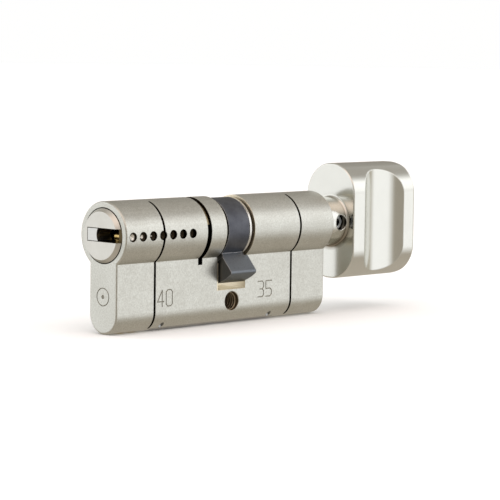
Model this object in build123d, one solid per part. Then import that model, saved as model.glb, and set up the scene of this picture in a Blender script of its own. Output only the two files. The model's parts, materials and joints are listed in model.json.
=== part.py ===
from build123d import *
import math
import os

# Euro profile cylinder 40/35 with a thumb turn, in millimetres.
# Origin: middle of the M5 fixing hole. +X runs along the plug to the thumb turn, +Z goes from the
# web up to the plug, and -Y is the side with the seven closed bores and the size numbers.

# ---- driving dimensions: profile and body ----
AXIS_Z = 18.6            # plug axis above the fixing hole
HEAD_R = 8.5             # round part of the profile
WEB_HALF = 5.0           # half the thickness of the web, and the radius of its lower edge
PROFILE_HEIGHT = 33.0
KEY_LENGTH = 40.0        # from the fixing hole to the key face
THUMB_LENGTH = 35.0      # from the fixing hole to the thumb turn face
END_ROUNDING = 0.5
FIXING_R = 2.45          # M5, to the root of its thread
FIXING_COUNTERSINK = 0.15
CAM_SLOT_LEFT = -5.0
CAM_SLOT_RIGHT = 4.8
CAM_SLOT_FLOOR = 3.1
CAM_RELIEF_LEFT = -5.4   # the round part of the key half ends a little further out than the web
SNAP_LEFT_X = -27.2
SNAP_RIGHT_X = 22.03
SNAP_WIDTH = 0.65
SNAP_CORE_HALF = 2.6     # what the two saw cuts leave between them
CLIP_SLOT_X = -11.5
CLIP_SLOT_WIDTH = 1.45
CLIP_SLOT_FLOOR = 10.1

# ---- plug, keyway and pins ----
BORE_R = 6.5
PLUG_R = 6.42
PLUG_FRONT = 41.1        # the plug's face stands proud of the body
PLUG_FACE_R = 6.0
PLUG_HEAD_R = 6.85
PLUG_HEAD_SEAT = 1.0     # depth of the counterbore for the plug's head
PLUG_TAIL_X = -5.75
JOURNAL_R = 3.9
KEYWAY_LOW = -1.47       # keyway faces, measured from the plug axis
KEYWAY_HIGH = 1.95
KEYWAY_LEFT_Y = 4.7
KEYWAY_RIGHT_Y = -4.5
KEYWAY_END_X = -13.6
KEYWAY_MOUTH_DEPTH = 2.25
INSERT_LEFT_Y = 4.62
INSERT_RIGHT_Y = 0.75
INSERT_LENGTH = 4.8
INSERT_GAP = 0.08
INSERT_SCOOP_R = 2.75
CHAMBER_XS = [-34.6, -30.9, -23.5, -19.8, -16.1]
CHAMBER_R = 1.45
PIN_R = 1.38
KEY_PIN_RISES = [1.5, 0.9, 1.3, 0.6, 1.1]   # how far each key pin stands up into the keyway
DRIVER_LENGTH = 5.0
SHEAR_GAP = 0.1
SIDE_FIRST_X = -37.75
SIDE_PITCH = 3.39
SIDE_COUNT = 7
SIDE_BORE_R = 1.2
SIDE_PIN_BORE_R = 0.97
SIDE_PIN_R = 0.9
SIDE_PIN_INNER_Y = -2.3
SIDE_PIN_OUTER_Y = -6.25
SIDE_CLOSER_R = 1.17
SIDE_CLOSER_INNER_R = 6.62
SIDE_CLOSER_DIMPLE_R = 0.95
SIDE_CLOSER_DIMPLE_DEPTH = 0.55
SIDE_CLOSER_FIRST_TOP = 8.2
SIDE_CLOSER_STEP = 0.12  # each closing plug is pressed in this much deeper than the one before

# ---- retaining clip, springs, bar ----
CLIP_THICKNESS = 1.0
CLIP_GROOVE_R = 5.7
CLIP_OUTER_R = 7.9
CLIP_HALF_GAP = 45.0
CLIP_TURN = 59.0         # its opening, in degrees from straight down towards -Y
SPRING_WIRE_R = 0.19
SPRING_R = 1.08
SPRING_TURNS = 9
BAR_LEFT = -26.2
BAR_RIGHT = 18.0
BAR_HALF = 2.5
BAR_TOP = -3.1
BAR_GAP = 0.02
CROSS_PIN_XS = [-23.4, 15.3]
CROSS_PIN_Z = -4.5
CROSS_PIN_R = 0.7
CROSS_PIN_LENGTH = 5.6
CHAMBER_CLOSER_LOW = -5.3

# ---- cam, clutch and spindle ----
CAM_R = 8.0
CAM_LEFT = -4.24
CAM_RIGHT = 3.26
CAM_BORE_R = 4.0
CAM_WALL_LEFT = -2.2
CAM_WALL_RIGHT = 1.3
LOBE_LEFT = -4.6
LOBE_RIGHT = 4.5
LOBE_R = 14.45
LOBE_FLARE_R = 9.0
LOBE_TILT = 28.0         # degrees from straight down, towards -Y
LOBE_HALF_ANGLE = 13.7
LOBE_CORNER_R = 0.7
TONGUE_THICKNESS = 3.0
TONGUE_HEIGHT = 6.4
SLOT_CLEARANCE = 0.08
CLUTCH_LEFT = -6.2
CLUTCH_RIGHT = -2.5
CLUTCH_STEM_R = 1.4
CLUTCH_STEM_END = -13.3
WASHER_LEFT = 3.5
WASHER_RIGHT = 4.2
WASHER_R = 7.9
SPINDLE_LEFT = 5.1
SPINDLE_RIGHT = 34.8
SPINDLE_TONGUE_LEFT = -0.2
SPINDLE_SHOULDER = 1.45
RETAINER_X = 11.0
RETAINER_R = 1.45
RETAINER_GROOVE_R = 4.9
RETAINER_GROOVE_HALF = 1.6
STUB_R = 4.0
STUB_RIGHT = 44.0
STUB_FLAT_Y = -2.2
STUB_FLAT_LEFT = 37.6
STUB_FLAT_RIGHT = 42.6

# ---- thumb knob ----
NECK_R = 6.55
NECK_LEFT = 35.3
KNOB_LEFT = 42.7
KNOB_RIGHT = 68.1
KNOB_HALF_THICKNESS = 8.75
KNOB_HALF_HEIGHT = 15.7
KNOB_TOP_FLAT = 0.1      # the round top and bottom are cut off this much short of their crest
KNOB_CORNER_R = 2.6
KNOB_EDGE_R = 0.8
KNOB_BACK_EDGE_R = 0.35
NECK_FILLET_R = 0.7
SCOOP_X = 55.3
SCOOP_HALF_CHORD = 8.12
SCOOP_DEPTH = 3.4
SOCKET_DEPTH = 44.4
GRUB_X = 40.1
GRUB_R = 2.0
GRUB_OUTER_Y = -4.9
GRUB_SOCKET_FLATS = 2.0
GRUB_SOCKET_DEPTH = 1.3

# ---- engraved marks ----
MARK_DEPTH = 0.12
MARK_WIDTH = 0.22
DIGIT_HEIGHT = 4.1
DIGIT_WIDTH = 2.1
DIGIT_PITCH = 2.95
KEY_NUMBER_X = -26.2
THUMB_NUMBER_X = 9.65
NUMBER_Z = 0.35
RING_MARK_R = 2.3
RING_MARK_DOT_R = 0.5
RING_MARK_Z = 3.4

MARGIN = 1.0             # how far a cutting tool runs past what it cuts


def box(x_range, y_range, z_range):
    """A block given by its two faces on each axis."""
    size = [high - low for low, high in (x_range, y_range, z_range)]
    middle = [(low + high) / 2 for low, high in (x_range, y_range, z_range)]
    return Pos(*middle) * Box(*size)


def rod_x(radius, left, right, z=AXIS_Z):
    """A round bar along X, centred on the plug axis unless z says otherwise."""
    return Pos((left + right) / 2, 0, z) * Rot(0, 90, 0) * Cylinder(radius, right - left)


def cone_x(radius_left, radius_right, left, right):
    """A cone frustum along X on the plug axis."""
    return Pos((left + right) / 2, 0, AXIS_Z) * Rot(0, 90, 0) * Cone(radius_left, radius_right, right - left)


def rod_y(radius, low, high, x, z):
    """A round bar along Y."""
    return Pos(x, (low + high) / 2, z) * Rot(90, 0, 0) * Cylinder(radius, high - low)


def rod_z(radius, low, high, x):
    """A round bar along Z in the middle plane."""
    return Pos(x, 0, (low + high) / 2) * Cylinder(radius, high - low)


def profile_face():
    """The euro profile: a round head over a web with a fully rounded lower edge."""
    web_low = AXIS_Z + HEAD_R - PROFILE_HEIGHT + WEB_HALF
    head = Pos(0, AXIS_Z) * Circle(HEAD_R)
    web = Pos(0, (web_low + AXIS_Z) / 2) * Rectangle(2 * WEB_HALF, AXIS_Z - web_low)
    foot = Pos(0, web_low) * Circle(WEB_HALF)
    return head + web + foot


def profile_bar(left, right):
    """The euro profile drawn out along X."""
    plane = Plane(origin=(left, 0, 0), x_dir=(0, 1, 0), z_dir=(1, 0, 0))
    return extrude(plane * profile_face(), right - left)


def side_xs():
    """Places of the seven side bores along the key half."""
    return [SIDE_FIRST_X + SIDE_PITCH * number for number in range(SIDE_COUNT)]


def stroke(start, end):
    """One straight engraved stroke between two points of a flat XY plane, its ends squared."""
    run, rise = end[0] - start[0], end[1] - start[1]
    length = math.hypot(run, rise) + MARK_WIDTH
    middle = Pos((start[0] + end[0]) / 2, (start[1] + end[1]) / 2)
    return middle * Rot(0, 0, math.degrees(math.atan2(rise, run))) * Box(length, MARK_WIDTH, 2 * MARK_DEPTH)


def digit_lines(digit):
    """Lines of one upright numeral, its lower left corner at 0, 0."""
    w, h, cut = DIGIT_WIDTH, DIGIT_HEIGHT, DIGIT_WIDTH / 4
    half = h / 2
    lines = {
        "4": [[(w * 0.75, 0), (w * 0.75, h)], [(w * 0.75, h), (0, h * 0.3), (w, h * 0.3)]],
        "0": [[(cut, 0), (w - cut, 0), (w, cut), (w, h - cut), (w - cut, h), (cut, h),
               (0, h - cut), (0, cut), (cut, 0)]],
        "3": [[(0, 0), (w - cut, 0), (w, cut), (w, half - cut), (w - cut, half), (w * 0.35, half)],
              [(w - cut, half), (w, half + cut), (w, h - cut), (w - cut, h), (0, h)]],
        "5": [[(0, 0), (w - cut, 0), (w, cut), (w, half - cut), (w - cut, half), (0, half),
               (0, h), (w, h)]],
    }
    return lines[digit]


def number_mark(text, left_x):
    """Cutters for an engraved size number on the -Y face of the web."""
    plane = Plane(origin=(left_x, -WEB_HALF, NUMBER_Z), x_dir=(1, 0, 0), z_dir=(0, -1, 0))
    cutters = []
    for place, digit in enumerate(text):
        for line in digit_lines(digit):
            spots = [(x + place * DIGIT_PITCH, y) for x, y in line]
            cutters += [plane.location * stroke(*ends) for ends in zip(spots, spots[1:])]
    return cutters


def ring_mark():
    """A plain engraved ring with a dot, on the key face of the web."""
    plane = Plane(origin=(-KEY_LENGTH, 0, RING_MARK_Z), x_dir=(0, -1, 0), z_dir=(-1, 0, 0))
    ring = Circle(RING_MARK_R) - Circle(RING_MARK_R - MARK_WIDTH)
    return extrude(plane * (ring + Circle(RING_MARK_DOT_R)), MARK_DEPTH, both=True)


def make_body():
    """Brass housing: euro profile with plug bore, spindle bore, chambers, slots and saw cuts."""
    body = profile_bar(-KEY_LENGTH, THUMB_LENGTH)
    end_edges = body.faces().sort_by(Axis.X)[0].edges() + body.faces().sort_by(Axis.X)[-1].edges()
    body = fillet(end_edges, END_ROUNDING)
    top = AXIS_Z + HEAD_R + MARGIN
    low = AXIS_Z + HEAD_R - PROFILE_HEIGHT - MARGIN
    wide = HEAD_R + MARGIN
    body -= box((CAM_SLOT_LEFT, CAM_SLOT_RIGHT), (-wide, wide), (CAM_SLOT_FLOOR, top))
    body -= box((CAM_RELIEF_LEFT, CAM_SLOT_RIGHT), (-wide, wide), (CLIP_SLOT_FLOOR, top))
    body -= rod_x(BORE_R, -KEY_LENGTH - MARGIN, THUMB_LENGTH + MARGIN)
    seat_r = PLUG_HEAD_R + SHEAR_GAP
    body -= rod_x(seat_r, -KEY_LENGTH - MARGIN, -KEY_LENGTH + PLUG_HEAD_SEAT)
    clip_x = (CLIP_SLOT_X - CLIP_SLOT_WIDTH / 2, CLIP_SLOT_X + CLIP_SLOT_WIDTH / 2)
    body -= box(clip_x, (-wide, wide), (CLIP_SLOT_FLOOR, top))
    for snap_x in (SNAP_LEFT_X, SNAP_RIGHT_X):
        for side in (-1, 1):
            y_range = sorted((side * SNAP_CORE_HALF, side * wide))
            body -= box((snap_x - SNAP_WIDTH / 2, snap_x + SNAP_WIDTH / 2), y_range, (low, top))
    body -= rod_y(FIXING_R, -wide, wide, 0, 0)
    for side in (-1, 1):
        sink = Cone(FIXING_R, FIXING_R + 2 * FIXING_COUNTERSINK, 2 * FIXING_COUNTERSINK)
        body -= Pos(0, side * WEB_HALF, 0) * Rot(-90 * side, 0, 0) * sink
    for x in side_xs():
        body -= rod_y(SIDE_BORE_R, -wide, -BORE_R / 2, x, AXIS_Z)
    for x in CHAMBER_XS:
        body -= rod_z(CHAMBER_R, low, AXIS_Z - BORE_R / 2, x)
    body -= rod_z(RETAINER_R + SLOT_CLEARANCE / 2, BAR_TOP, AXIS_Z - BORE_R / 2, RETAINER_X)
    bar_y = BAR_HALF + BAR_GAP
    body -= box((BAR_LEFT - BAR_GAP, BAR_RIGHT + BAR_GAP), (-bar_y, bar_y), (low, BAR_TOP + BAR_GAP))
    for x in CROSS_PIN_XS:
        body -= rod_y(CROSS_PIN_R + BAR_GAP, -wide, wide, x, CROSS_PIN_Z)
    for cutter in number_mark("40", KEY_NUMBER_X) + number_mark("35", THUMB_NUMBER_X):
        body -= cutter
    return body - ring_mark()


def make_bar():
    """Steel bar let into the lower edge of the web, bridging the weak middle of the body."""
    bar = profile_bar(BAR_LEFT, BAR_RIGHT)
    bar &= box((BAR_LEFT, BAR_RIGHT), (-BAR_HALF, BAR_HALF), (-PROFILE_HEIGHT, BAR_TOP))
    for x in CROSS_PIN_XS:
        bar -= rod_y(CROSS_PIN_R + BAR_GAP, -WEB_HALF, WEB_HALF, x, CROSS_PIN_Z)
    return bar


def make_cross_pins():
    """Two pins across the web that hold the bar."""
    half = CROSS_PIN_LENGTH / 2
    return [rod_y(CROSS_PIN_R, -half, half, x, CROSS_PIN_Z) for x in CROSS_PIN_XS]


def make_chamber_closers():
    """Brass plugs that close the two pin chambers in front of the bar."""
    return [rod_z(CHAMBER_R - BAR_GAP, CHAMBER_CLOSER_LOW, BAR_TOP, x) for x in CHAMBER_XS[:2]]


def slot_block(left, right, thickness, height, clearance=0.0):
    """A flat tongue on the plug axis, or the slot for it when given a clearance."""
    half_y = thickness / 2 + clearance
    half_z = height / 2 + clearance
    return box((left, right), (-half_y, half_y), (AXIS_Z - half_z, AXIS_Z + half_z))


def make_plug():
    """Key plug: coned head, flat keyway, pin bores, clip groove and a tail that carries the cam."""
    seat_x = -KEY_LENGTH + PLUG_HEAD_SEAT - SHEAR_GAP
    plug = cone_x(PLUG_FACE_R, PLUG_HEAD_R, -PLUG_FRONT, -KEY_LENGTH)
    plug += rod_x(PLUG_HEAD_R, -KEY_LENGTH, seat_x)
    plug += rod_x(PLUG_R, seat_x, PLUG_TAIL_X)
    plug += rod_x(JOURNAL_R, PLUG_TAIL_X, CAM_WALL_LEFT - SHEAR_GAP)
    groove_half = CLIP_THICKNESS / 2 + SHEAR_GAP
    groove = (CLIP_SLOT_X - groove_half, CLIP_SLOT_X + groove_half)
    plug -= rod_x(PLUG_R + MARGIN, *groove) - rod_x(CLIP_GROOVE_R, *groove)
    keyway_z = (AXIS_Z + KEYWAY_LOW, AXIS_Z + KEYWAY_HIGH)
    plug -= box((-PLUG_FRONT - MARGIN, KEYWAY_END_X), (KEYWAY_RIGHT_Y, KEYWAY_LEFT_Y), keyway_z)
    mouth_end = -PLUG_FRONT + KEYWAY_MOUTH_DEPTH
    plug -= box((-PLUG_FRONT - MARGIN, mouth_end), (-PLUG_HEAD_R - MARGIN, KEYWAY_LEFT_Y), keyway_z)
    for x in CHAMBER_XS:
        plug -= rod_z(CHAMBER_R, AXIS_Z - PLUG_R - MARGIN, AXIS_Z, x)
    for x in side_xs():
        plug -= rod_y(SIDE_PIN_BORE_R, -PLUG_R - MARGIN, KEYWAY_RIGHT_Y + MARGIN, x, AXIS_Z)
    pocket_left = CLUTCH_LEFT - SHEAR_GAP
    plug -= slot_block(pocket_left, 0, TONGUE_THICKNESS, TONGUE_HEIGHT, SLOT_CLEARANCE)
    plug -= rod_x(CLUTCH_STEM_R + SLOT_CLEARANCE, KEYWAY_END_X - MARGIN, pocket_left)
    return plug


def make_insert():
    """Hardened insert that fills the left end of the keyway, its right end hollowed."""
    right = -PLUG_FRONT + INSERT_LENGTH
    z_range = (AXIS_Z + KEYWAY_LOW + INSERT_GAP, AXIS_Z + KEYWAY_HIGH - INSERT_GAP)
    insert = box((-PLUG_FRONT, right), (INSERT_RIGHT_Y, INSERT_LEFT_Y), z_range)
    middle_z = sum(z_range) / 2
    half_z = (z_range[1] - z_range[0]) / 2
    scoop_y = INSERT_RIGHT_Y - math.sqrt(INSERT_SCOOP_R ** 2 - half_z ** 2)
    scoop = Pos((right - PLUG_FRONT) / 2, scoop_y, middle_z) * Rot(0, 90, 0)
    return insert - scoop * Cylinder(INSERT_SCOOP_R, INSERT_LENGTH + MARGIN)


def make_key_pin(x, rise):
    """Brass key pin: coned tip in the keyway, rounded foot at the shear line."""
    foot = AXIS_Z - PLUG_R + 2 * SHEAR_GAP
    tip = AXIS_Z + KEYWAY_LOW + rise
    tip_height = 0.5
    pin = rod_z(PIN_R, foot, tip - tip_height, x)
    pin += Pos(x, 0, tip - tip_height / 2) * Cone(PIN_R, PIN_R * 0.6, tip_height)
    return chamfer(pin.faces().sort_by(Axis.Z)[0].edges(), 0.2)


def driver_top():
    """Highest point of a driver pin: just under the bore, so the plug turns freely."""
    return AXIS_Z - BORE_R - SHEAR_GAP / 2


def make_driver_pin(x):
    """Steel driver pin with a narrow waist, its top at the shear line."""
    top = driver_top()
    pin = rod_z(PIN_R, top - DRIVER_LENGTH, top, x)
    waist = (top - 3.4, top - 1.4)
    pin -= rod_z(PIN_R + MARGIN, *waist, x) - rod_z(PIN_R * 0.7, *waist, x)
    return chamfer(pin.faces().sort_by(Axis.Z)[-1].edges(), 0.15)


def make_spring(x):
    """Coil spring between the chamber's floor and the driver pin."""
    low = BAR_TOP + SPRING_WIRE_R + 0.05
    high = driver_top() - DRIVER_LENGTH - SPRING_WIRE_R - 0.05
    path = Helix((high - low) / SPRING_TURNS, high - low, SPRING_R)
    start = Plane(origin=path @ 0, z_dir=path % 0)
    return Pos(x, 0, low) * sweep(start * Circle(SPRING_WIRE_R), path, is_frenet=True)


def make_side_pin(x):
    """Brass side pin that reaches through the plug's wall to the edge of the key."""
    pin = rod_y(SIDE_PIN_R, SIDE_PIN_OUTER_Y, SIDE_PIN_INNER_Y, x, AXIS_Z)
    ends = [pin.faces().sort_by(Axis.Y)[0], pin.faces().sort_by(Axis.Y)[-1]]
    return chamfer([edge for face in ends for edge in face.edges()], 0.25)


def make_side_closers():
    """Steel plugs with centre-drilled ends, pressed into the side bores one deeper than the next."""
    closers = []
    for number, x in enumerate(side_xs()):
        top = SIDE_CLOSER_FIRST_TOP - number * SIDE_CLOSER_STEP
        dimple = Cone(SIDE_CLOSER_DIMPLE_R, 0, SIDE_CLOSER_DIMPLE_DEPTH)
        dimple = Pos(x, SIDE_CLOSER_DIMPLE_DEPTH / 2 - top, AXIS_Z) * Rot(-90, 0, 0) * dimple
        closers.append(rod_y(SIDE_CLOSER_R, -top, -SIDE_CLOSER_INNER_R, x, AXIS_Z) - dimple)
    return closers


def make_clip():
    """Open spring clip that sits in the plug's groove and stops the plug from coming out."""
    x_range = (CLIP_SLOT_X - CLIP_THICKNESS / 2, CLIP_SLOT_X + CLIP_THICKNESS / 2)
    clip = rod_x(CLIP_OUTER_R, *x_range) - rod_x(CLIP_GROOVE_R + SHEAR_GAP / 2, *x_range)
    reach = 2 * CLIP_OUTER_R
    half = reach * math.sin(math.radians(CLIP_HALF_GAP))
    down = reach * math.cos(math.radians(CLIP_HALF_GAP))
    gap = Polyline((0, 0), (-half, -down), (half, -down), close=True)
    plane = Plane(origin=(x_range[0] - MARGIN, 0, AXIS_Z), x_dir=(0, 1, 0), z_dir=(1, 0, 0))
    cutter = plane * Rot(0, 0, -CLIP_TURN) * make_face(gap)
    return clip - extrude(cutter, CLIP_THICKNESS + 2 * MARGIN)


def make_cam():
    """Sintered steel cam: a ring on the two journals with a lobe that throws the bolt."""
    ring = rod_x(CAM_R, CAM_LEFT, CAM_RIGHT)
    start, end = (math.radians(LOBE_TILT + side * LOBE_HALF_ANGLE) for side in (-1, 1))
    flare = LOBE_FLARE_R

    def spot(radius, angle):
        return (-radius * math.sin(angle), AXIS_Z - radius * math.cos(angle))

    middle = (start + end) / 2
    outline = Polyline(spot(LOBE_R, start), spot(0, 0), spot(LOBE_R, end))
    outline += ThreePointArc(spot(LOBE_R, end), spot(LOBE_R, middle), spot(LOBE_R, start))
    plane = Plane(origin=(LOBE_LEFT, 0, 0), x_dir=(0, 1, 0), z_dir=(1, 0, 0))
    lobe = extrude(plane * make_face(outline), LOBE_RIGHT - LOBE_LEFT)
    corners = lobe.edges().filter_by(Axis.X).sort_by(Axis.Z)[:2]
    lobe = fillet(corners, LOBE_CORNER_R)
    lobe -= rod_x(flare, LOBE_LEFT - MARGIN, CAM_LEFT)
    lobe -= rod_x(flare, CAM_RIGHT, LOBE_RIGHT + MARGIN)
    cam = ring + lobe
    cam -= rod_x(CAM_BORE_R, CAM_LEFT - MARGIN, CAM_WALL_LEFT)
    cam -= rod_x(CAM_BORE_R, CAM_WALL_RIGHT, CAM_RIGHT + MARGIN)
    cam -= slot_block(CAM_WALL_LEFT - MARGIN, CAM_WALL_RIGHT + MARGIN, TONGUE_THICKNESS,
                      TONGUE_HEIGHT, SLOT_CLEARANCE)
    return cam


def make_washer():
    """Thin washer between the cam and the thumb half of the body."""
    hole = CAM_BORE_R + SHEAR_GAP
    return rod_x(WASHER_R, WASHER_LEFT, WASHER_RIGHT) - rod_x(hole, WASHER_LEFT, WASHER_RIGHT)


def make_clutch():
    """Clutch: the key's tip pushes its stem and slides its blade into the cam."""
    blade = slot_block(CLUTCH_LEFT, CLUTCH_RIGHT, TONGUE_THICKNESS, TONGUE_HEIGHT)
    return blade + rod_x(CLUTCH_STEM_R, CLUTCH_STEM_END, CLUTCH_LEFT)


def make_spindle():
    """Thumb spindle: tongue in the cam, journal, grooved barrel, and a stub with a flat."""
    spindle = rod_x(PLUG_R, SPINDLE_LEFT, SPINDLE_RIGHT)
    spindle += rod_x(JOURNAL_R, SPINDLE_SHOULDER, SPINDLE_LEFT)
    spindle += slot_block(SPINDLE_TONGUE_LEFT, SPINDLE_SHOULDER, TONGUE_THICKNESS, TONGUE_HEIGHT)
    spindle += rod_x(STUB_R, SPINDLE_RIGHT, STUB_RIGHT)
    groove = (RETAINER_X - RETAINER_GROOVE_HALF, RETAINER_X + RETAINER_GROOVE_HALF)
    spindle -= rod_x(PLUG_R + MARGIN, *groove) - rod_x(RETAINER_GROOVE_R, *groove)
    flat_z = (AXIS_Z - STUB_R, AXIS_Z + STUB_R)
    spindle -= box((STUB_FLAT_LEFT, STUB_FLAT_RIGHT), (-STUB_R - MARGIN, STUB_FLAT_Y), flat_z)
    return spindle


def make_retainer():
    """Steel pin up through the web into the spindle's groove."""
    top = AXIS_Z - RETAINER_GROOVE_R - SHEAR_GAP
    return rod_z(RETAINER_R, BAR_TOP + 2 * BAR_GAP, top, RETAINER_X)


def make_knob():
    """Cast thumb knob: round-topped block with a finger scoop each side and a round neck."""
    half = KNOB_HALF_THICKNESS
    arc_z = KNOB_HALF_HEIGHT + KNOB_TOP_FLAT - half
    section = Pos(0, AXIS_Z) * Rectangle(2 * half, 2 * arc_z)
    for side in (-1, 1):
        section += Pos(0, AXIS_Z + side * arc_z) * Circle(half)
    plane = Plane(origin=(KNOB_LEFT, 0, 0), x_dir=(0, 1, 0), z_dir=(1, 0, 0))
    block = extrude(plane * section, KNOB_RIGHT - KNOB_LEFT)
    height = 2 * KNOB_HALF_HEIGHT
    trim = box((KNOB_LEFT - MARGIN, KNOB_RIGHT), (-half - MARGIN, half + MARGIN),
               (AXIS_Z - KNOB_HALF_HEIGHT, AXIS_Z + KNOB_HALF_HEIGHT))
    trim = fillet(trim.edges().filter_by(Axis.Y).group_by(Axis.X)[-1], KNOB_CORNER_R)
    block &= trim
    block = fillet(block.faces().sort_by(Axis.X)[-1].edges(), KNOB_EDGE_R)
    scoop_r = (SCOOP_HALF_CHORD ** 2 + SCOOP_DEPTH ** 2) / (2 * SCOOP_DEPTH)
    for side in (-1, 1):
        scoop_y = side * (half - SCOOP_DEPTH + scoop_r)
        block -= Pos(SCOOP_X, scoop_y, AXIS_Z) * Cylinder(scoop_r, height)
    block = fillet(block.faces().sort_by(Axis.X)[0].edges(), KNOB_BACK_EDGE_R)
    knob = block + rod_x(NECK_R, NECK_LEFT, KNOB_LEFT + MARGIN)
    root = [e for e in knob.edges().filter_by(GeomType.CIRCLE)
            if abs(e.center().X - KNOB_LEFT) < 0.01 and abs(e.radius - NECK_R) < 0.01]
    knob = fillet(root, NECK_FILLET_R)
    knob -= rod_x(STUB_R + 0.03, NECK_LEFT - MARGIN, SOCKET_DEPTH)
    knob -= rod_y(GRUB_R + 0.05, -NECK_R - MARGIN, 0, GRUB_X, AXIS_Z)
    return knob


def make_grub():
    """Hexagon-socket grub screw that clamps the knob on the spindle's flat."""
    grub = rod_y(GRUB_R, GRUB_OUTER_Y, STUB_FLAT_Y - 0.02, GRUB_X, AXIS_Z)
    grub = chamfer(grub.faces().sort_by(Axis.Y)[0].edges(), 0.25)
    hexagon = RegularPolygon(GRUB_SOCKET_FLATS / 2, 6, major_radius=False)
    plane = Plane(origin=(GRUB_X, GRUB_OUTER_Y, AXIS_Z), x_dir=(1, 0, 0), z_dir=(0, 1, 0))
    return grub - extrude(plane * hexagon, GRUB_SOCKET_DEPTH)


def write(name, shape):
    """Write one node; a list of solids becomes a group in one file."""
    solids = [s for piece in shape for s in piece.solids()] if isinstance(shape, list) else shape.solids()
    node = solids[0] if len(solids) == 1 else Compound(children=list(solids))
    export_step(node, f"parts/{name}.step")


os.makedirs("parts", exist_ok=True)
write("cylinder_body", make_body())
write("reinforcement_bar", make_bar())
write("bar_cross_pins", make_cross_pins())
write("chamber_closers", make_chamber_closers())
write("key_plug", make_plug())
write("keyway_insert", make_insert())
write("side_bore_closers", make_side_closers())
write("plug_retaining_clip", make_clip())
write("cam", make_cam())
write("cam_washer", make_washer())
write("clutch", make_clutch())
write("thumb_spindle", make_spindle())
write("spindle_retaining_pin", make_retainer())
write("thumb_knob", make_knob())
write("knob_grub_screw", make_grub())
for number, (x, rise) in enumerate(zip(CHAMBER_XS, KEY_PIN_RISES), start=1):
    write(f"key_pin_{number}", make_key_pin(x, rise))
    write(f"driver_pin_{number}", make_driver_pin(x))
    write(f"driver_spring_{number}", make_spring(x))
for number, x in enumerate(side_xs(), start=1):
    write(f"side_pin_{number}", make_side_pin(x))
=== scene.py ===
import json
import math

import bpy
from mathutils import Matrix, Vector


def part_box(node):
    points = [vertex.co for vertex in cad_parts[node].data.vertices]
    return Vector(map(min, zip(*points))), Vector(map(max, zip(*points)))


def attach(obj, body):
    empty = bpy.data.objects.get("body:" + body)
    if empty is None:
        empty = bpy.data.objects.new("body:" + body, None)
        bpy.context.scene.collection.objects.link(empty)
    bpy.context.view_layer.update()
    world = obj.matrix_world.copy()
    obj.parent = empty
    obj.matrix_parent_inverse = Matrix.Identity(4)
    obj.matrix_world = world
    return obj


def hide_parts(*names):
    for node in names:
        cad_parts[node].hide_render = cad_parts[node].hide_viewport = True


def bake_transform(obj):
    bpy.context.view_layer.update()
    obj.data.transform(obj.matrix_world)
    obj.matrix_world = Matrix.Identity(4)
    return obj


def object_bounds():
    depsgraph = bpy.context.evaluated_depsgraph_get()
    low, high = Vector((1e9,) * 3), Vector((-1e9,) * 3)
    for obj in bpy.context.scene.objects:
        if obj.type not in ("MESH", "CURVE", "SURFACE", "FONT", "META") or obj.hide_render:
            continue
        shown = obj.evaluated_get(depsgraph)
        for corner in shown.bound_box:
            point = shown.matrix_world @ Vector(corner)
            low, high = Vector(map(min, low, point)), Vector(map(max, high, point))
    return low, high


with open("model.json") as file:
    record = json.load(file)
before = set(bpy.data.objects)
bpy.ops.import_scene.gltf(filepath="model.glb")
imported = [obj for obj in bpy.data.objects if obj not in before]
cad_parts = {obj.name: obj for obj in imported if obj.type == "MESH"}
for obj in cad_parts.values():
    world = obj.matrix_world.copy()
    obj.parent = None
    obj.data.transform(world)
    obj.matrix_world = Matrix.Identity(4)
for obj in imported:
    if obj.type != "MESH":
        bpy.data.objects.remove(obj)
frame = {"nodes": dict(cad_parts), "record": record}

cad_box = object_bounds()

# ---------------------------------------------------------------------------------------------
# Studio floor: a wide sheet of matt pale paper just under the web's rounded edge, lit by one
# soft lamp overhead. Neither is mirrored in the metal.
# ---------------------------------------------------------------------------------------------
MM = 0.001
FLOOR_HALF = 12.0
FLOOR_GAP = 0.1 * MM
PAPER = (0.925, 0.94, 0.96)
PAPER_SHADE = (0.885, 0.90, 0.92)
LAMP_ENERGY = 1.55
LAMP_ANGLE = math.radians(100)


def add_node(tree, kind, inputs=None, **settings):
    """A shader node with its settings, and its inputs set to values or linked to sockets."""
    made = tree.nodes.new(kind)
    for name, value in settings.items():
        setattr(made, name, value)
    for key, value in (inputs or {}).items():
        if isinstance(value, bpy.types.NodeSocket):
            tree.links.new(value, made.inputs[key])
        else:
            made.inputs[key].default_value = value
    return made


def blend(tree, factor, low, high):
    """Colour low where factor is 0 and high where it is 1."""
    colours = {6: low, 7: high}
    inputs = {0: factor}
    for key, value in colours.items():
        inputs[key] = value if isinstance(value, bpy.types.NodeSocket) else (*value, 1.0)
    return add_node(tree, "ShaderNodeMix", inputs, data_type="RGBA").outputs[2]


def noise(tree, coords, scale, detail=4.0, stretch=(1.0, 1.0, 1.0)):
    """Noise on object coordinates: scale in cycles a metre, stretch squeezes it along an axis."""
    mapped = add_node(tree, "ShaderNodeMapping", {0: coords, 3: stretch}).outputs[0]
    inputs = {"Vector": mapped, "Scale": scale, "Detail": detail, "Roughness": 0.6}
    return add_node(tree, "ShaderNodeTexNoise", inputs).outputs[0]


def new_material(name):
    """An empty node material, its tree, its shader and its object coordinates."""
    material = bpy.data.materials.new(name)
    material.use_nodes = True
    tree = material.node_tree
    coords = add_node(tree, "ShaderNodeTexCoord").outputs["Object"]
    return material, tree, tree.nodes["Principled BSDF"], coords


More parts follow.
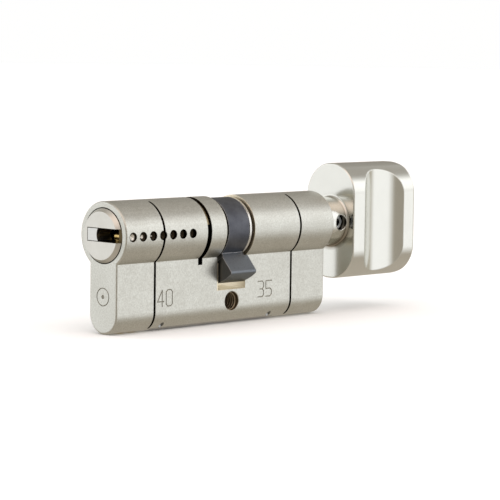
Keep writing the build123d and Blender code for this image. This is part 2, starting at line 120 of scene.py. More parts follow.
floor_mesh = bpy.data.meshes.new("studio_floor")
floor_z = cad_box[0][2] - FLOOR_GAP
signs = ((-1, -1), (1, -1), (1, 1), (-1, 1))
corners = [(x * FLOOR_HALF, y * FLOOR_HALF, floor_z) for x, y in signs]
floor_mesh.from_pydata(corners, [], [(0, 1, 2, 3)])
studio_floor = bpy.data.objects.new("studio_floor", floor_mesh)
bpy.context.scene.collection.objects.link(studio_floor)
studio_floor.visible_glossy = False
studio_paper, tree, shader, coords = new_material("studio_paper")
fibre = noise(tree, coords, 40.0)
tree.links.new(blend(tree, fibre, PAPER_SHADE, PAPER), shader.inputs["Base Color"])
shader.inputs["Roughness"].default_value = 0.9
floor_mesh.materials.append(studio_paper)

lamp = bpy.data.lights.new("overhead_lamp", "SUN")
lamp.energy = LAMP_ENERGY
lamp.angle = LAMP_ANGLE
overhead_lamp = bpy.data.objects.new("overhead_lamp", lamp)
overhead_lamp.visible_glossy = False
bpy.context.scene.collection.objects.link(overhead_lamp)

# ---------------------------------------------------------------------------------------------
# Studio room: warm grey walls with soft screens round the part, which the metal mirrors. The
# camera itself sees only white behind the part.
# ---------------------------------------------------------------------------------------------
# Each wall colour stands at a height: -1 is straight down, 0 the horizon and 1 straight up.
WALLS = [(-0.9, (0.56, 0.50, 0.42)), (-0.05, (0.42, 0.385, 0.32)), (0.08, (0.33, 0.303, 0.262)),
         (0.35, (0.34, 0.318, 0.282)), (0.60, (0.42, 0.40, 0.36)), (0.85, (0.50, 0.46, 0.41)),
         (1.0, (0.80, 0.76, 0.70))]
# Each screen: where it stands (x, y), its fades sideways, at its foot and at its head, its light.
SCREENS = [
    ((0.80, -0.60), (0.46, 0.72), (-0.02, 0.14), (0.49, 0.63), (1.21, 1.21, 1.205)),    # high, right
    ((1.00, -0.10), (0.50, 0.90), (-0.46, -0.18), (0.00, 0.16), (0.52, 0.48, 0.40)),    # dim, far right
    ((0.50, -0.866), (0.73, 0.906), (-0.46, -0.18), (0.02, 0.20), (1.21, 1.21, 1.205)),  # low, right
    ((-0.71, 0.70), (0.60, 0.85), (-0.46, -0.18), (0.46, 0.66), (1.12, 1.12, 1.11)),    # behind, left
    ((-0.55, -0.83), (0.20, 0.60), (0.34, 0.62), (1.2, 1.3), (1.10, 0.94, 0.84)),       # warm, overhead
]
GLOW = (-0.05, 0.35, 1.0, 1.18)     # between these heights a screen grows this much brighter
BACKDROP = (1.0, 1.0, 0.995, 1.0)


def compute(tree, operation, first, second=0.0, third=0.0):
    """The result of one math node."""
    inputs = {0: first, 1: second, 2: third}
    return add_node(tree, "ShaderNodeMath", inputs, operation=operation).outputs[0]


def combine(tree, operation, first, second):
    """The result of one vector math node with two vectors: a number if it is a dot product."""
    made = add_node(tree, "ShaderNodeVectorMath", {0: first, 1: second}, operation=operation)
    return made.outputs["Value" if operation == "DOT_PRODUCT" else "Vector"]


def scaled(tree, vector, factor):
    """A vector times a number."""
    inputs = {0: vector, "Scale": factor}
    return add_node(tree, "ShaderNodeVectorMath", inputs, operation="SCALE").outputs[0]


def part_of(tree, vector, axis):
    """One part of a vector: axis 0, 1 or 2."""
    return add_node(tree, "ShaderNodeSeparateXYZ", {0: vector}).outputs[axis]


def ramp(tree, value, start, end, low=0.0, high=1.0):
    """Value carried from the range start..end to low..high and held beyond it."""
    inputs = {0: value, 1: start, 2: end, 3: low, 4: high}
    return add_node(tree, "ShaderNodeMapRange", inputs).outputs[0]


def all_of(tree, *masks):
    """The product of several masks."""
    total = masks[0]
    for mask in masks[1:]:
        total = compute(tree, "MULTIPLY", total, mask)
    return total


world = bpy.data.worlds.new("studio_room")
bpy.context.scene.world = world
world.use_nodes = True
tree = world.node_tree
direction = add_node(tree, "ShaderNodeTexCoord").outputs["Generated"]
height = part_of(tree, direction, 2)
level = combine(tree, "MULTIPLY", direction, (1.0, 1.0, 0.0))
level = add_node(tree, "ShaderNodeVectorMath", {0: level}, operation="NORMALIZE").outputs[0]
glow = ramp(tree, height, *GLOW)
low, room = WALLS[0]
for high, colour in WALLS[1:]:
    room = blend(tree, ramp(tree, height, low, high), room, colour)
    low = high
for facing, sideways, foot, head, light in SCREENS:
    towards = combine(tree, "DOT_PRODUCT", level, (*facing, 0.0))
    screen = all_of(tree, ramp(tree, towards, *sideways), ramp(tree, height, *foot),
                    ramp(tree, height, *head, 1.0, 0.0))
    room = blend(tree, screen, room, scaled(tree, light, glow))
lighting = add_node(tree, "ShaderNodeBackground", {"Color": room}).outputs[0]
backdrop = add_node(tree, "ShaderNodeBackground", {"Color": BACKDROP}).outputs[0]
seen = add_node(tree, "ShaderNodeLightPath").outputs["Is Camera Ray"]
surroundings = add_node(tree, "ShaderNodeMixShader", {0: seen, 1: lighting, 2: backdrop}).outputs[0]
tree.links.new(surroundings, tree.nodes["World Output"].inputs[0])

# ---------------------------------------------------------------------------------------------
# Camera: a little above the plug's axis, looking along the part from its key end with a long
# lens, and tipped by less than a degree.
# ---------------------------------------------------------------------------------------------
CAMERA_AZIMUTH = math.radians(-45.526)
CAMERA_ELEVATION = math.radians(5.121)
CAMERA_ROLL = math.radians(0.751)
CAMERA_DISTANCE = 0.56466
CAMERA_AIM = Vector((0.01158, 0.0, 0.01224))
CAMERA_LENS = 154.37
back = Vector((math.sin(CAMERA_AZIMUTH) * math.cos(CAMERA_ELEVATION),
               -math.cos(CAMERA_AZIMUTH) * math.cos(CAMERA_ELEVATION), math.sin(CAMERA_ELEVATION)))
level_right = Vector((math.cos(CAMERA_AZIMUTH), math.sin(CAMERA_AZIMUTH), 0.0))
level_up = back.cross(level_right)
right = level_right * math.cos(CAMERA_ROLL) + level_up * math.sin(CAMERA_ROLL)
up = level_up * math.cos(CAMERA_ROLL) - level_right * math.sin(CAMERA_ROLL)
camera_data = bpy.data.cameras.new("studio_camera")
camera_data.lens = CAMERA_LENS
studio_camera = bpy.data.objects.new("studio_camera", camera_data)
turn = Matrix((right, up, back)).transposed().to_4x4()
studio_camera.matrix_world = Matrix.Translation(CAMERA_AIM + back * CAMERA_DISTANCE) @ turn
bpy.context.scene.collection.objects.link(studio_camera)
bpy.context.scene.camera = studio_camera
bpy.context.scene.view_settings.view_transform = "Standard"

# ---------------------------------------------------------------------------------------------
# Body: brass bar drawn to the euro profile, fine blasted and satin nickel plated. The cam slot,
# the bores and the saw cuts are machined after plating, so raw brass shows; the clip slot, the saw
# cuts, the side bores and the plug's seat are painted near black as painted shade.
# ---------------------------------------------------------------------------------------------
NICKEL = (0.712, 0.716, 0.672)
NICKEL_SHADE = (0.660, 0.660, 0.615)
NICKEL_PIT = (0.40, 0.39, 0.345)
ENGRAVED = (0.27, 0.255, 0.215)
RAW_BRASS = (0.86, 0.79, 0.64)
RAW_BRASS_SHADE = (0.74, 0.66, 0.50)
DARK_HOLE_BRASS = (0.30, 0.245, 0.17)
# near black painted shade, used in slots, cuts, bores, seats and gaps
PAINTED_SHADE = (0.030, 0.023, 0.015)
# All sizes of cuts are in millimetres and reach a little past the cut, into solid metal.
SKIN = 0.03             # how far under an outer face a cut's colour starts
WEB_HALF = 5.0
CAM_SLOT_X = (-5.45, 4.85)
CAM_SLOT_FLOOR = 3.05
CLIP_SLOT_X = (-12.24, -10.76)
CLIP_SLOT_FLOOR = 10.05
SNAP_CUTS_X = ((-27.54, -26.86), (21.69, 22.37))
SNAP_CORE_HALF = 2.55   # the metal left between the two saw cuts
BORE_REACH = 6.97
PLUG_SEAT_DEPTH = 1.1
PLUG_SEAT_REACH = 7.03
SCREW_HOLE_R = 2.5
SIDE_BORE_REACH = 1.23
SIDE_BORES_X = (-39, -15)
SIDE_BORES_Y = (-9, -3)
NUMBERS_X = ((-26.5, -20.8), (9.3, 14.9))
NUMBERS_Z = (0.1, 4.8)
RING_MARK_Y = (-2.5, 2.5)
RING_MARK_Z = (0.9, 5.9)
MARK_DEPTH = 0.2


def box_mm(name):
    """The two corners of a CAD node's box, in millimetres."""
    return [Vector(corner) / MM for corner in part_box(name)]


body_low, body_high = box_mm("cylinder_body")
head_r = (body_high.y - body_low.y) / 2
body_top = body_high.z + head_r
axis_z = body_high.z - head_r
fixing = next(m for m in frame["record"]["mounts"] if m["name"] == "fixing_hole")
fixing_place = Vector(fixing["pos_m"])
first_pin, second_pin = (sum(box_mm(name), Vector()) / 2 for name in ("side_pin_1", "side_pin_2"))
side_first, side_pitch = first_pin.x, second_pin.x - first_pin.x


def millimetres(tree, coords):
    """Object coordinates in millimetres."""
    return scaled(tree, coords, 1 / MM)


def inside(tree, place, x=None, y=None, z=None):
    """1 inside a block given by its ranges in millimetres on any of the axes, otherwise 0."""
    mask = 1.0
    for axis, limits in enumerate((x, y, z)):
        if limits:
            middle, half = (limits[0] + limits[1]) / 2, (limits[1] - limits[0]) / 2
            within = compute(tree, "COMPARE", part_of(tree, place, axis), middle, half)
            mask = compute(tree, "MULTIPLY", mask, within)
    return mask


def length_of(tree, vector):
    """Length of a vector."""
    return add_node(tree, "ShaderNodeVectorMath", {0: vector}, operation="LENGTH").outputs["Value"]


def from_line(tree, place, point, across):
    """Distance in millimetres from a line through point; across has 0 for the line's own axis."""
    moved = combine(tree, "SUBTRACT", place, point)
    return length_of(tree, combine(tree, "MULTIPLY", moved, across))


def from_plug_axis(tree, place):
    """Distance in millimetres from the axis that the plug, the cam and the knob turn on."""
    return from_line(tree, place, (0, 0, axis_z), (0, 1, 1))


def from_side_bore(tree, place):
    """Distance in millimetres from the axis of the nearest side bore."""
    moved = combine(tree, "SUBTRACT", place, (side_first, 0, axis_z))
    along = compute(tree, "PINGPONG", part_of(tree, moved, 0), side_pitch)
    along = compute(tree, "MINIMUM", along, compute(tree, "SUBTRACT", side_pitch, along))
    across = {0: along, 1: part_of(tree, moved, 2)}
    return length_of(tree, add_node(tree, "ShaderNodeCombineXYZ", across).outputs[0])


def any_of(tree, *masks):
    """The greatest of several masks."""
    total = masks[0]
    for mask in masks[1:]:
        total = compute(tree, "MAXIMUM", total, mask)
    return total


def broken_edges(tree, radius):
    """Normal with every edge broken to a small radius, as tumbling leaves it."""
    return add_node(tree, "ShaderNodeBevel", {"Radius": radius * MM}, samples=6).outputs[0]


def relief(tree, height, strength, depth, normal):
    """Surface relief from a height, on top of another normal; depth in millimetres."""
    inputs = {"Height": height, "Strength": strength, "Distance": depth * MM, "Normal": normal}
    return add_node(tree, "ShaderNodeBump", inputs).outputs[0]


def make_metal(tree, shader, colour, roughness, normal):
    """Makes the shader a metal with this colour and normal, and a roughness, even or varied."""
    shader.inputs["Metallic"].default_value = 1.0
    tree.links.new(colour, shader.inputs["Base Color"])
    tree.links.new(normal, shader.inputs["Normal"])
    if isinstance(roughness, bpy.types.NodeSocket):
        tree.links.new(roughness, shader.inputs["Roughness"])
    else:
        shader.inputs["Roughness"].default_value = roughness


def finish_node(name, material):
    """Gives a CAD node its finish."""
    mesh = frame["nodes"][name].data
    mesh.materials.clear()
    mesh.materials.append(material)


blasted_nickel, tree, shader, coords = new_material("blasted_nickel")
place = millimetres(tree, coords)
cloud = noise(tree, coords, 150.0)
speckle = noise(tree, coords, 2700.0, 6.0)
draw_lines = noise(tree, coords, 2200.0, 3.0, stretch=(0.03, 1.0, 1.0))
turning = noise(tree, coords, 1500.0, 2.0, stretch=(1.0, 0.12, 0.12))
from_axis = from_plug_axis(tree, place)
from_fixing = from_line(tree, place, fixing_place / MM, (1, 0, 1))
nickel = blend(tree, ramp(tree, cloud, 0.35, 0.65), NICKEL_SHADE, NICKEL)
nickel = blend(tree, ramp(tree, speckle, 0.36, 0.64, 0.46, 0.0), nickel, NICKEL_PIT)
brass = blend(tree, ramp(tree, turning, 0.35, 0.65), RAW_BRASS, RAW_BRASS_SHADE)
screw_hole = all_of(tree, compute(tree, "LESS_THAN", from_fixing, SCREW_HOLE_R),
                    inside(tree, place, y=(-WEB_HALF + SKIN, WEB_HALF - SKIN)))
# the fixing hole's wall is painted darker than the raw brass
brass = blend(tree, screw_hole, brass, DARK_HOLE_BRASS)
cam_slot = inside(tree, place, x=CAM_SLOT_X, z=(CAM_SLOT_FLOOR, body_top))
bore = compute(tree, "LESS_THAN", from_axis, BORE_REACH)
colour = blend(tree, any_of(tree, cam_slot, bore, screw_hole), nickel, brass)

clip_slot = inside(tree, place, x=CLIP_SLOT_X, z=(CLIP_SLOT_FLOOR, body_top))
snap_core = inside(tree, place, y=(-SNAP_CORE_HALF, SNAP_CORE_HALF))
snap_cuts = all_of(tree, any_of(tree, *(inside(tree, place, x=cut) for cut in SNAP_CUTS_X)),
                   compute(tree, "SUBTRACT", 1.0, snap_core))
side_bores = all_of(tree, compute(tree, "LESS_THAN", from_side_bore(tree, place), SIDE_BORE_REACH),
                    compute(tree, "LESS_THAN", from_axis, head_r - SKIN),
                    inside(tree, place, x=SIDE_BORES_X, y=SIDE_BORES_Y))
plug_seat = all_of(tree, compute(tree, "LESS_THAN", from_axis, PLUG_SEAT_REACH),
                   inside(tree, place, x=(body_low.x - SKIN, body_low.x + PLUG_SEAT_DEPTH)))
# painted shade: the clip slot, the saw cuts, the side bores and the plug's seat painted near black
colour = blend(tree, any_of(tree, clip_slot, snap_cuts, side_bores, plug_seat), colour, PAINTED_SHADE)

numbers = all_of(tree, any_of(tree, *(inside(tree, place, x=number) for number in NUMBERS_X)),
                 inside(tree, place, y=(-WEB_HALF + SKIN, -WEB_HALF + MARK_DEPTH), z=NUMBERS_Z))
ring_mark = inside(tree, place, x=(body_low.x + SKIN, body_low.x + MARK_DEPTH), y=RING_MARK_Y,
                   z=RING_MARK_Z)
colour = blend(tree, any_of(tree, numbers, ring_mark), colour, ENGRAVED)
texture = compute(tree, "MULTIPLY_ADD", draw_lines, 0.3, speckle)
make_metal(tree, shader, colour, ramp(tree, draw_lines, 0.3, 0.7, 0.33, 0.43),
           relief(tree, texture, 0.65, 0.030, broken_edges(tree, 0.15)))
finish_node("cylinder_body", blasted_nickel)

# ---------------------------------------------------------------------------------------------
# M5 thread of the fixing hole: a triangular ridge wound up the hole's wall, cut in the bare
# brass of the body by a tap and painted darker than the body's raw brass.
# ---------------------------------------------------------------------------------------------
THREAD_PITCH = 0.8
THREAD_INNER_R = 2.12
RIDGE_HALF_WIDTH = 0.32
DARK_THREAD_BRASS = (0.56, 0.48, 0.36)
DARK_THREAD_BRASS_SHADE = (0.34, 0.28, 0.20)


def add_coil_group():
    """Geometry Nodes group that winds a wire of any number of sides round its own Z axis."""
    group = bpy.data.node_groups.new("wound_coil", "GeometryNodeTree")
    for label, kind in (("Turns", "NodeSocketFloat"), ("Radius", "NodeSocketFloat"),
                        ("Length", "NodeSocketFloat"), ("Wire", "NodeSocketFloat"),
                        ("Sides", "NodeSocketInt"), ("Finish", "NodeSocketMaterial")):
        group.interface.new_socket(label, in_out="INPUT", socket_type=kind)
    group.interface.new_socket("Geometry", in_out="OUTPUT", socket_type="NodeSocketGeometry")
    given = group.nodes.new("NodeGroupInput").outputs
    path = {"Resolution": 48, "Rotations": given["Turns"], "Start Radius": given["Radius"],
            "End Radius": given["Radius"], "Height": given["Length"]}
    spiral = add_node(group, "GeometryNodeCurveSpiral", path).outputs[0]
    section = {"Resolution": given["Sides"], "Radius": given["Wire"]}
    profile = add_node(group, "GeometryNodeCurvePrimitiveCircle", section).outputs[0]
    upright = add_node(group, "GeometryNodeSetCurveNormal", {"Curve": spiral}, mode="Z_UP").outputs[0]
    swept = {"Curve": upright, "Profile Curve": profile, "Fill Caps": True}
    coil = add_node(group, "GeometryNodeCurveToMesh", swept).outputs[0]
    down = compute(group, "MULTIPLY", given["Length"], -0.5)
    offset = add_node(group, "ShaderNodeCombineXYZ", {2: down}).outputs[0]
    moved = {"Geometry": coil, "Translation": offset}
    middle = add_node(group, "GeometryNodeTransform", moved).outputs[0]
    whole = add_node(group, "GeometryNodeRealizeInstances", {"Geometry": middle}).outputs[0]
    finish = {"Geometry": whole, "Material": given["Finish"]}
    painted = add_node(group, "GeometryNodeSetMaterial", finish).outputs[0]
    result = group.nodes.new("NodeGroupOutput")
    group.links.new(painted, result.inputs[0])
    return group


def grown_mesh(name, group, values):
    """A mesh object at the origin, made by evaluating a node group once with named values."""
    seed = bpy.data.objects.new(name + "_seed", bpy.data.meshes.new(name + "_seed"))
    bpy.context.scene.collection.objects.link(seed)
    modifier = seed.modifiers.new("grow", "NODES")
    modifier.node_group = group
    for item in group.interface.items_tree:
        if item.in_out == "INPUT":
            modifier[item.identifier] = values[item.name]
    seen_by = bpy.context.evaluated_depsgraph_get()
    mesh = bpy.data.meshes.new_from_object(seed.evaluated_get(seen_by))
    bpy.data.objects.remove(seed)
    mesh.name = name
    made = bpy.data.objects.new(name, mesh)
    bpy.context.scene.collection.objects.link(made)
    return made


dark_thread_brass, tree, shader, coords = new_material("dark_thread_brass")
grain = noise(tree, coords, 2500.0)
make_metal(tree, shader, blend(tree, grain, DARK_THREAD_BRASS_SHADE, DARK_THREAD_BRASS),
           ramp(tree, grain, 0.3, 0.7, 0.30, 0.45),
           relief(tree, grain, 0.3, 0.008, broken_edges(tree, 0.04)))
thread_length = 2 * WEB_HALF - 2 * THREAD_PITCH
coil_group = add_coil_group()
fixing_thread = grown_mesh("fixing_thread", coil_group, {
    "Turns": thread_length / THREAD_PITCH, "Radius": (THREAD_INNER_R + RIDGE_HALF_WIDTH / 2) * MM,
    "Length": thread_length * MM, "Wire": RIDGE_HALF_WIDTH * MM, "Sides": 3, "Finish": dark_thread_brass})
on_its_side = Matrix.Rotation(math.radians(90), 4, "X")
fixing_thread.data.transform(Matrix.Translation(fixing_place) @ on_its_side)
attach(fixing_thread, "housing")

# ---------------------------------------------------------------------------------------------
# Key plug and insert: turned brass with the same plate, its face finely machined, its keyway
# bare brass painted dark as painted shade, with a near-black painted-shade line round its rim; a
# bright hardened insert stands at the left of the keyway, its edges painted near black as painted
# shade.
# ---------------------------------------------------------------------------------------------
PLATE = (0.70, 0.69, 0.65)
PLATE_SHADE = (0.62, 0.605, 0.56)
KEYWAY_SHADE_BRASS = (0.16, 0.12, 0.06)
KEYWAY_SHADE_BRASS_DARK = (0.045, 0.034, 0.018)
INSERT_STEEL = (0.72, 0.72, 0.70)
INSERT_STEEL_SHADE = (0.60, 0.60, 0.585)
KEYWAY_X = (-40.95, -2.0)
KEYWAY_REACH = 5.9          # the keyway ends inside this radius
MOUTH_X = (-41.05, -38.7)   # the keyway's mouth is open as far as the rim on its right
MOUTH_Y = (-6.9, -3.0)
MOUTH_Z = (-1.45, 1.93)
PLUG_RIM_R = 6.77
INSERT_RIM = 0.1            # painted shade covers the insert this far in from its top, foot and outer side
turned_nickel, tree, shader, coords = new_material("turned_nickel")
place = millimetres(tree, coords)
from_axis = from_plug_axis(tree, place)
tool_marks = compute(tree, "SINE", compute(tree, "MULTIPLY", from_axis, 30.0))
cloud = noise(tree, coords, 240.0)
speckle = noise(tree, coords, 3000.0, 5.0)
plate = blend(tree, ramp(tree, cloud, 0.35, 0.65), PLATE_SHADE, PLATE)
keyway = all_of(tree, compute(tree, "LESS_THAN", from_axis, KEYWAY_REACH),
                inside(tree, place, x=KEYWAY_X))
mouth = inside(tree, place, x=MOUTH_X, y=MOUTH_Y, z=(axis_z + MOUTH_Z[0], axis_z + MOUTH_Z[1]))
# painted shade: the keyway and its mouth painted dark brass
keyway_shade = blend(tree, cloud, KEYWAY_SHADE_BRASS_DARK, KEYWAY_SHADE_BRASS)
plate = blend(tree, any_of(tree, keyway, mouth), plate, keyway_shade)
# painted shade: a near-black line round the plug's rim, where it meets the body
plate = blend(tree, compute(tree, "GREATER_THAN", from_axis, PLUG_RIM_R), plate, PAINTED_SHADE)
texture = compute(tree, "MULTIPLY_ADD", tool_marks, 0.05, speckle)
make_metal(tree, shader, plate, ramp(tree, cloud, 0.3, 0.7, 0.30, 0.40),
           relief(tree, texture, 0.35, 0.014, broken_edges(tree, 0.10)))
finish_node("key_plug", turned_nickel)

insert_steel, tree, shader, coords = new_material("insert_steel")
place = millimetres(tree, coords)
insert_low, insert_high = box_mm("keyway_insert")
faced = inside(tree, place, y=(insert_low.y, insert_high.y - INSERT_RIM),
               z=(insert_low.z + INSERT_RIM, insert_high.z - INSERT_RIM))
grain = noise(tree, coords, 3400.0)
# painted shade along the insert's top, foot and outer side
steel = blend(tree, faced, PAINTED_SHADE, blend(tree, grain, INSERT_STEEL_SHADE, INSERT_STEEL))
make_metal(tree, shader, steel, ramp(tree, grain, 0.3, 0.7, 0.28, 0.38),
           relief(tree, grain, 0.2, 0.006, broken_edges(tree, 0.08)))
finish_node("keyway_insert", insert_steel)

# ---------------------------------------------------------------------------------------------
# Pins, clutch and closers: turned brass key and side pins and chamber plugs, hardened steel
# drivers, clutch, bar and cross pins, and a spring clip round the plug's groove.
# ---------------------------------------------------------------------------------------------


def bare_metal(name, dark, light, roughness, grain_scale, depth, edge):
    """A metal in two close colours, clouded and grained, with its edges broken."""
    material, tree, shader, coords = new_material(name)
    cloud = noise(tree, coords, 420.0)
    grain = noise(tree, coords, grain_scale)
    make_metal(tree, shader, blend(tree, ramp(tree, cloud, 0.3, 0.7), dark, light),
               ramp(tree, grain, 0.3, 0.7, *roughness),
               relief(tree, grain, 0.35, depth, broken_edges(tree, edge)))
    return material


turned_brass = bare_metal("turned_brass", dark=(0.62, 0.45, 0.17), light=(0.78, 0.58, 0.25),
                          roughness=(0.24, 0.36), grain_scale=5200.0, depth=0.006, edge=0.08)
hardened_steel = bare_metal("hardened_steel", dark=(0.28, 0.28, 0.28), light=(0.40, 0.40, 0.40),
                            roughness=(0.28, 0.40), grain_scale=4200.0, depth=0.008, edge=0.08)
spring_wire = bare_metal("spring_wire", dark=(0.40, 0.32, 0.19), light=(0.55, 0.45, 0.28),
                         roughness=(0.30, 0.42), grain_scale=6000.0, depth=0.004, edge=0.05)
for name in frame["nodes"]:
    if name.startswith(("key_pin", "side_pin", "chamber_closers")):
        finish_node(name, turned_brass)
    elif name.startswith(("driver_pin", "reinforcement_bar", "bar_cross_pins",
                          "spindle_retaining_pin", "clutch")):
        finish_node(name, hardened_steel)
finish_node("plug_retaining_clip", spring_wire)

# ---------------------------------------------------------------------------------------------
# Driver springs: hard drawn wire, open wound. Each stands on its chamber's floor and pushes its
# driver pin up.
# ---------------------------------------------------------------------------------------------
PIN_STACKS = 5
SPRING_TURNS = 9.0
SPRING_WIRE_R = 0.19 * MM
for number in range(1, PIN_STACKS + 1):
    low, high = (Vector(corner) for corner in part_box(f"driver_spring_{number}"))
    middle = (low + high) / 2
    driver_coil = grown_mesh(f"driver_coil_{number}", coil_group, {
        "Turns": SPRING_TURNS, "Radius": (high.x - low.x) / 2 - SPRING_WIRE_R,
        "Length": high.z - low.z - 2 * SPRING_WIRE_R, "Wire": SPRING_WIRE_R, "Sides": 8,
        "Finish": spring_wire})
    driver_coil.data.transform(Matrix.Translation(middle))
    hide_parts(f"driver_spring_{number}")
    foot = Vector((middle.x, middle.y, low.z + 2 * SPRING_WIRE_R))
    head = Vector((middle.x, middle.y, high.z - 2 * SPRING_WIRE_R))
    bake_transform(driver_coil)

# ---------------------------------------------------------------------------------------------
# Side bore closers: small centre-drilled steel plugs pressed into the side bores. Each is painted
# near black as painted shade but for a painted highlight in its middle, which shrinks to nothing
# over the first bores from the key's end.
# ---------------------------------------------------------------------------------------------
CLOSER_GLINT = (0.94, 0.92, 0.87)
CLOSER_GLINT_DIM = (0.84, 0.82, 0.77)
GLINT_R = 0.78          # radius of the painted highlight on the first closer
GLINT_BORES = 3         # bores over which the painted highlight shrinks to nothing
closer_steel, tree, shader, coords = new_material("closer_steel")
place = millimetres(tree, coords)
grain = noise(tree, coords, 3400.0)
glint_end = side_first + GLINT_BORES * side_pitch
glint_reach = ramp(tree, part_of(tree, place, 0), side_first, glint_end, GLINT_R, 0.0)
closer_shade = ramp(tree, compute(tree, "SUBTRACT", from_side_bore(tree, place), glint_reach), -0.12, 0.05)
# painted highlight in each closer's middle, painted shade round it
steel = blend(tree, closer_shade, blend(tree, grain, CLOSER_GLINT_DIM, CLOSER_GLINT), PAINTED_SHADE)
make_metal(tree, shader, steel, 0.34, relief(tree, grain, 0.2, 0.006, broken_edges(tree, 0.05)))
finish_node("side_bore_closers", closer_steel)

# ---------------------------------------------------------------------------------------------
# Cam: sintered steel, steam treated to a dark blue grey, its edges painted lighter partly as rubbed
# wear and partly as painted highlight, its lobe painted paler as painted light and the lobe's face
# towards the key's end darker as painted shade, with a small ring stamped on the lobe. A bright
# washer lies against its right side.
# ---------------------------------------------------------------------------------------------
OXIDE = (0.142, 0.149, 0.170)
OXIDE_SHADE = (0.088, 0.092, 0.110)
OXIDE_PORE = (0.05, 0.05, 0.055)
LIT_LOBE_OXIDE = (0.196, 0.216, 0.244)
SHADED_LOBE_SIDE_OXIDE = (0.150, 0.156, 0.166)
STAMP_OXIDE = (0.10, 0.105, 0.115)
RUBBED_LIT_STEEL = (0.46, 0.47, 0.49)
CAM_RING_R = 8.1                # the lobe is all that lies outside the cam's ring
LOBE_SIDE_X = (-4.7, -4.5)      # the lobe's face towards the key's end
STAMP_Y = -2.8
STAMP_DROP = 9.8                # from the plug's axis down to the stamp
STAMP_R = 0.95
STAMP_HALF_WIDTH = 0.16
sintered_steel, tree, shader, coords = new_material("sintered_steel")
place = millimetres(tree, coords)
cloud = noise(tree, coords, 300.0, 5.0)
grain = noise(tree, coords, 2400.0, 5.0)
edges = broken_edges(tree, 0.30)
flat = add_node(tree, "ShaderNodeNewGeometry").outputs["Normal"]
bent = combine(tree, "DOT_PRODUCT", edges, flat)
# edges painted lighter: partly rubbed wear, partly a painted highlight
rubbed_and_lit = all_of(tree, ramp(tree, bent, 0.995, 0.90), ramp(tree, grain, 0.35, 0.60, 0.35, 1.0))
lobe = compute(tree, "GREATER_THAN", from_plug_axis(tree, place), CAM_RING_R)
lobe_side = inside(tree, place, x=LOBE_SIDE_X)
from_stamp = from_line(tree, place, (0, STAMP_Y, axis_z - STAMP_DROP), (0, 1, 1))
stamp = all_of(tree, compute(tree, "COMPARE", from_stamp, STAMP_R, STAMP_HALF_WIDTH), lobe_side)
oxide = blend(tree, ramp(tree, cloud, 0.3, 0.7), OXIDE_SHADE, OXIDE)
# painted light: the lobe painted paler than the ring
oxide = blend(tree, lobe, oxide, LIT_LOBE_OXIDE)
oxide = blend(tree, ramp(tree, grain, 0.34, 0.44, 0.35, 0.0), oxide, OXIDE_PORE)
# painted shade: the lobe's face towards the key's end painted darker
oxide = blend(tree, all_of(tree, lobe, lobe_side), oxide, SHADED_LOBE_SIDE_OXIDE)
oxide = blend(tree, stamp, oxide, STAMP_OXIDE)
make_metal(tree, shader, blend(tree, rubbed_and_lit, oxide, RUBBED_LIT_STEEL),
           ramp(tree, grain, 0.3, 0.7, 0.36, 0.52), relief(tree, grain, 0.5, 0.030, edges))
finish_node("cam", sintered_steel)
bright_steel = bare_metal("bright_steel", dark=(0.72, 0.71, 0.69), light=(0.82, 0.81, 0.79),
                          roughness=(0.22, 0.34), grain_scale=3800.0, depth=0.008, edge=0.08)
finish_node("cam_washer", bright_steel)

# ---------------------------------------------------------------------------------------------
# Thumb knob: a smooth zinc casting with pearl nickel plate, with painted shade at the root of its
# neck and in its screw hole, held on the turned spindle by a blackened hexagon-socket grub screw
# with a painted highlight round its socket.
# ---------------------------------------------------------------------------------------------
PEARL = (0.765, 0.765, 0.725)
PEARL_SHADE = (0.715, 0.715, 0.675)
ROOT_SHADE_PEARL = (0.30, 0.265, 0.215)
HOLE_SHADE_ZINC = (0.12, 0.11, 0.09)
BLACK_STEEL = (0.09, 0.10, 0.11)
SOCKET_HIGHLIGHT_STEEL = (0.80, 0.86, 0.90)
NECK_LENGTH = 7.4
ROOT_BEFORE, ROOT_PAST = 0.9, 0.2       # the painted shade at the root starts and ends this far from the neck's end
ROOT_OUTER_R, ROOT_INNER_R = 8.2, 7.0   # it fades out between these radii
ROOT_TOP, ROOT_BOTTOM = 6.0, -4.0       # it darkens between these heights over the axis
TAPPED_R = 2.1
TAPPED_REACH = 6.5                      # radius of the neck's own skin
SOCKET_RING_R = 1.35                    # ring painted bright round the grub screw's socket, a painted highlight
SOCKET_RING_HALF = 0.38
pearl_nickel, tree, shader, coords = new_material("pearl_nickel")
place = millimetres(tree, coords)
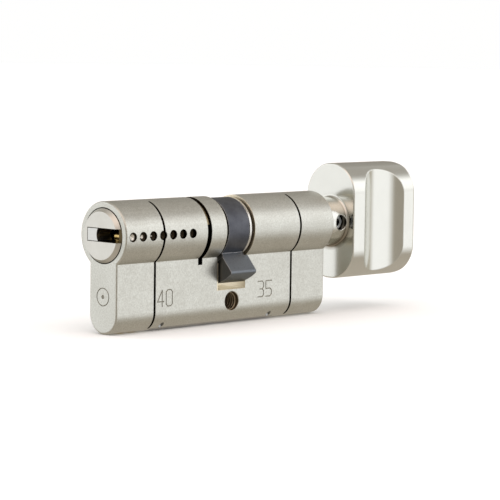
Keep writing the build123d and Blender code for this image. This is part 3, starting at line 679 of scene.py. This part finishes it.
cloud = noise(tree, coords, 300.0)
grain = noise(tree, coords, 2600.0)
grub_low, grub_high = box_mm("knob_grub_screw")
grub_place = ((grub_low.x + grub_high.x) / 2, 0, axis_z)
neck_end = box_mm("thumb_knob")[0].x + NECK_LENGTH
from_axis = from_plug_axis(tree, place)
from_grub = from_line(tree, place, grub_place, (1, 0, 1))
# painted shade: the grub screw's hole in the neck painted near black
hole_shade = all_of(tree, compute(tree, "LESS_THAN", from_grub, TAPPED_R),
                compute(tree, "LESS_THAN", from_axis, TAPPED_REACH))
root_shade = all_of(tree, inside(tree, place, x=(neck_end - ROOT_BEFORE, neck_end + ROOT_PAST)),
              ramp(tree, from_axis, ROOT_OUTER_R, ROOT_INNER_R),
              ramp(tree, part_of(tree, place, 2), axis_z + ROOT_TOP, axis_z + ROOT_BOTTOM, 0.10, 1.0))
# painted shade at the neck's root, strongest low down
plate = blend(tree, root_shade, blend(tree, cloud, PEARL_SHADE, PEARL), ROOT_SHADE_PEARL)
make_metal(tree, shader, blend(tree, hole_shade, plate, HOLE_SHADE_ZINC),
           ramp(tree, grain, 0.3, 0.7, 0.14, 0.20),
           relief(tree, grain, 0.15, 0.002, broken_edges(tree, 0.45)))
finish_node("thumb_knob", pearl_nickel)

black_steel, tree, shader, coords = new_material("black_steel")
place = millimetres(tree, coords)
grain = noise(tree, coords, 3000.0)
from_grub = from_line(tree, place, grub_place, (1, 0, 1))
# painted highlight: a bright ring round the grub screw's socket
socket_highlight = all_of(tree, compute(tree, "COMPARE", from_grub, SOCKET_RING_R, SOCKET_RING_HALF),
              inside(tree, place, y=(grub_low.y - 0.1, grub_low.y + 0.3)))
make_metal(tree, shader, blend(tree, socket_highlight, BLACK_STEEL, SOCKET_HIGHLIGHT_STEEL),
           ramp(tree, grain, 0.3, 0.7, 0.40, 0.55),
           relief(tree, grain, 0.2, 0.006, broken_edges(tree, 0.10)))
finish_node("knob_grub_screw", black_steel)
finish_node("thumb_spindle", turned_nickel)
